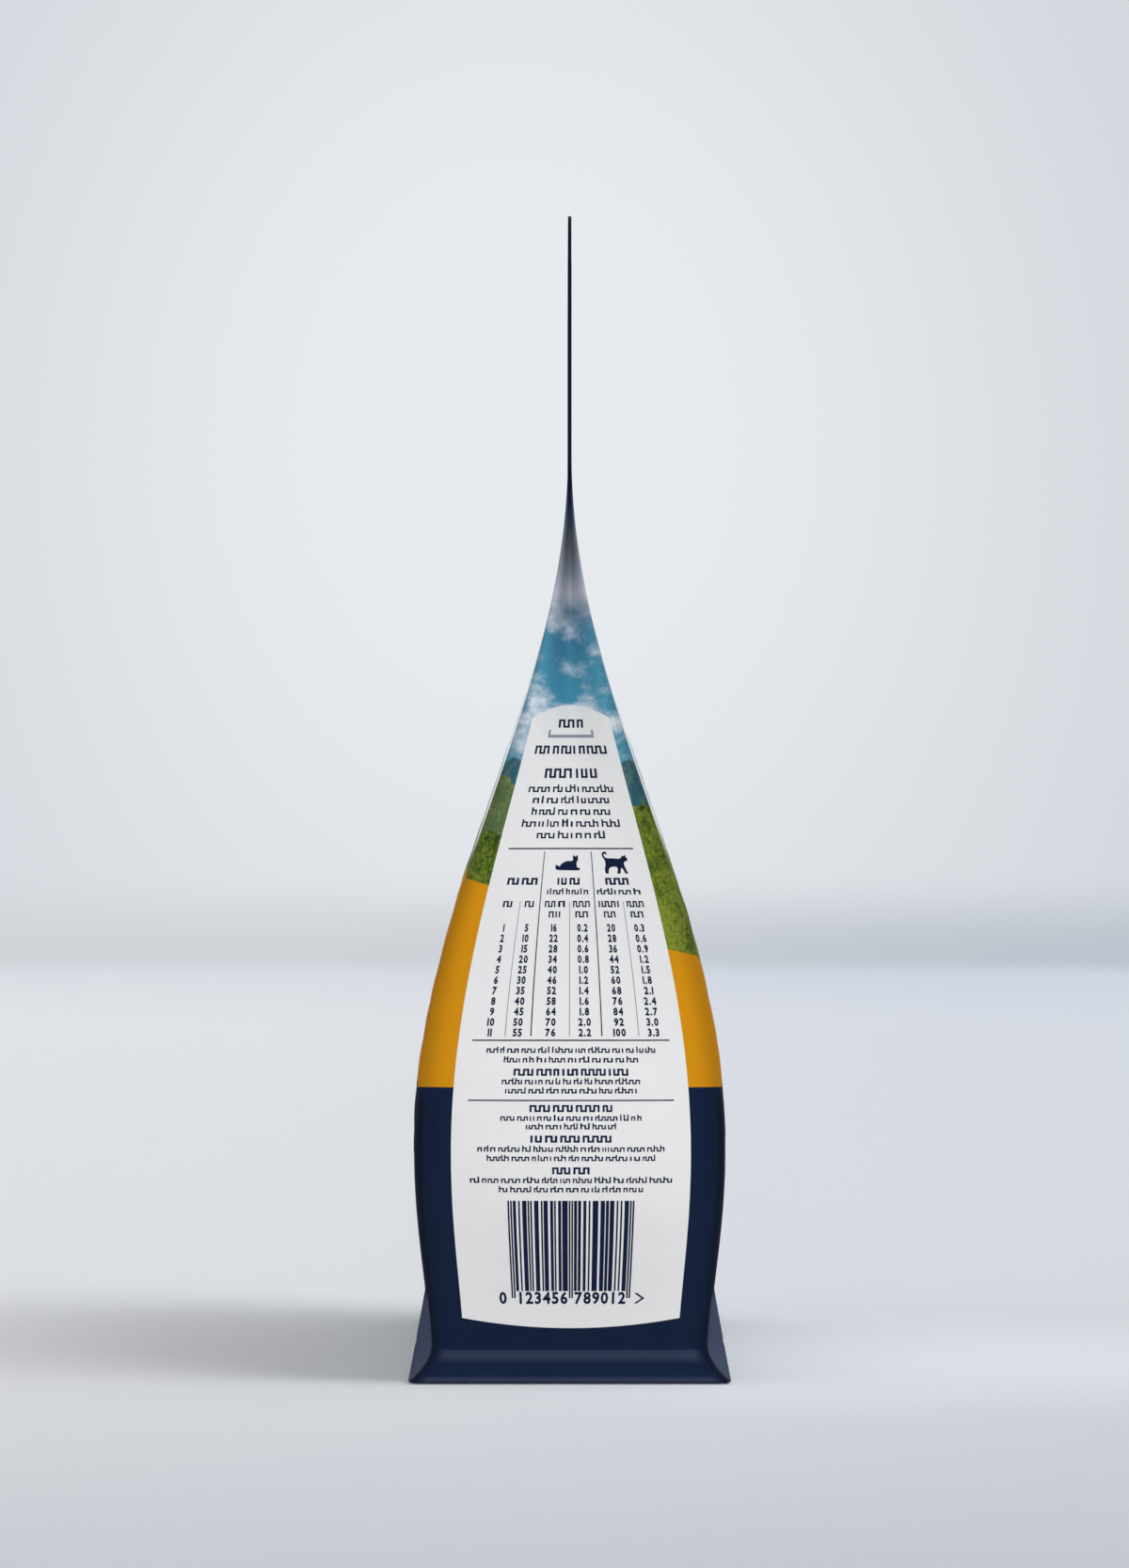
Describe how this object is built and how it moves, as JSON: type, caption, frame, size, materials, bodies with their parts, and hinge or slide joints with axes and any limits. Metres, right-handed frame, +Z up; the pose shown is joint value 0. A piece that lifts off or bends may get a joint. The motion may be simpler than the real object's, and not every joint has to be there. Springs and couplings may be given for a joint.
{
  "type": "pet food bag",
  "caption": "Sealed flat-bottom pouch of dry pet food, with a flat header, folded side gussets and a flared seam skirt at its base.",
  "frame": {"origin": "middle of the flat base, on the surface that the bag stands on", "axes": "+Z up along the height, X across the wide front and back panels, -Y towards the front panel, so the pictured side gusset faces +X"},
  "size_m": [0.2006, 0.081, 0.293],
  "materials": {
    "printed_film": "satin laminated film, printed navy low down, then an orange band, green hills and a cloudy sky that darkens to the header, with a pale label on each side gusset"
  },
  "bodies": {
    "root": {"pet_food_bag": "printed_film"}
  },
  "joints": []
}
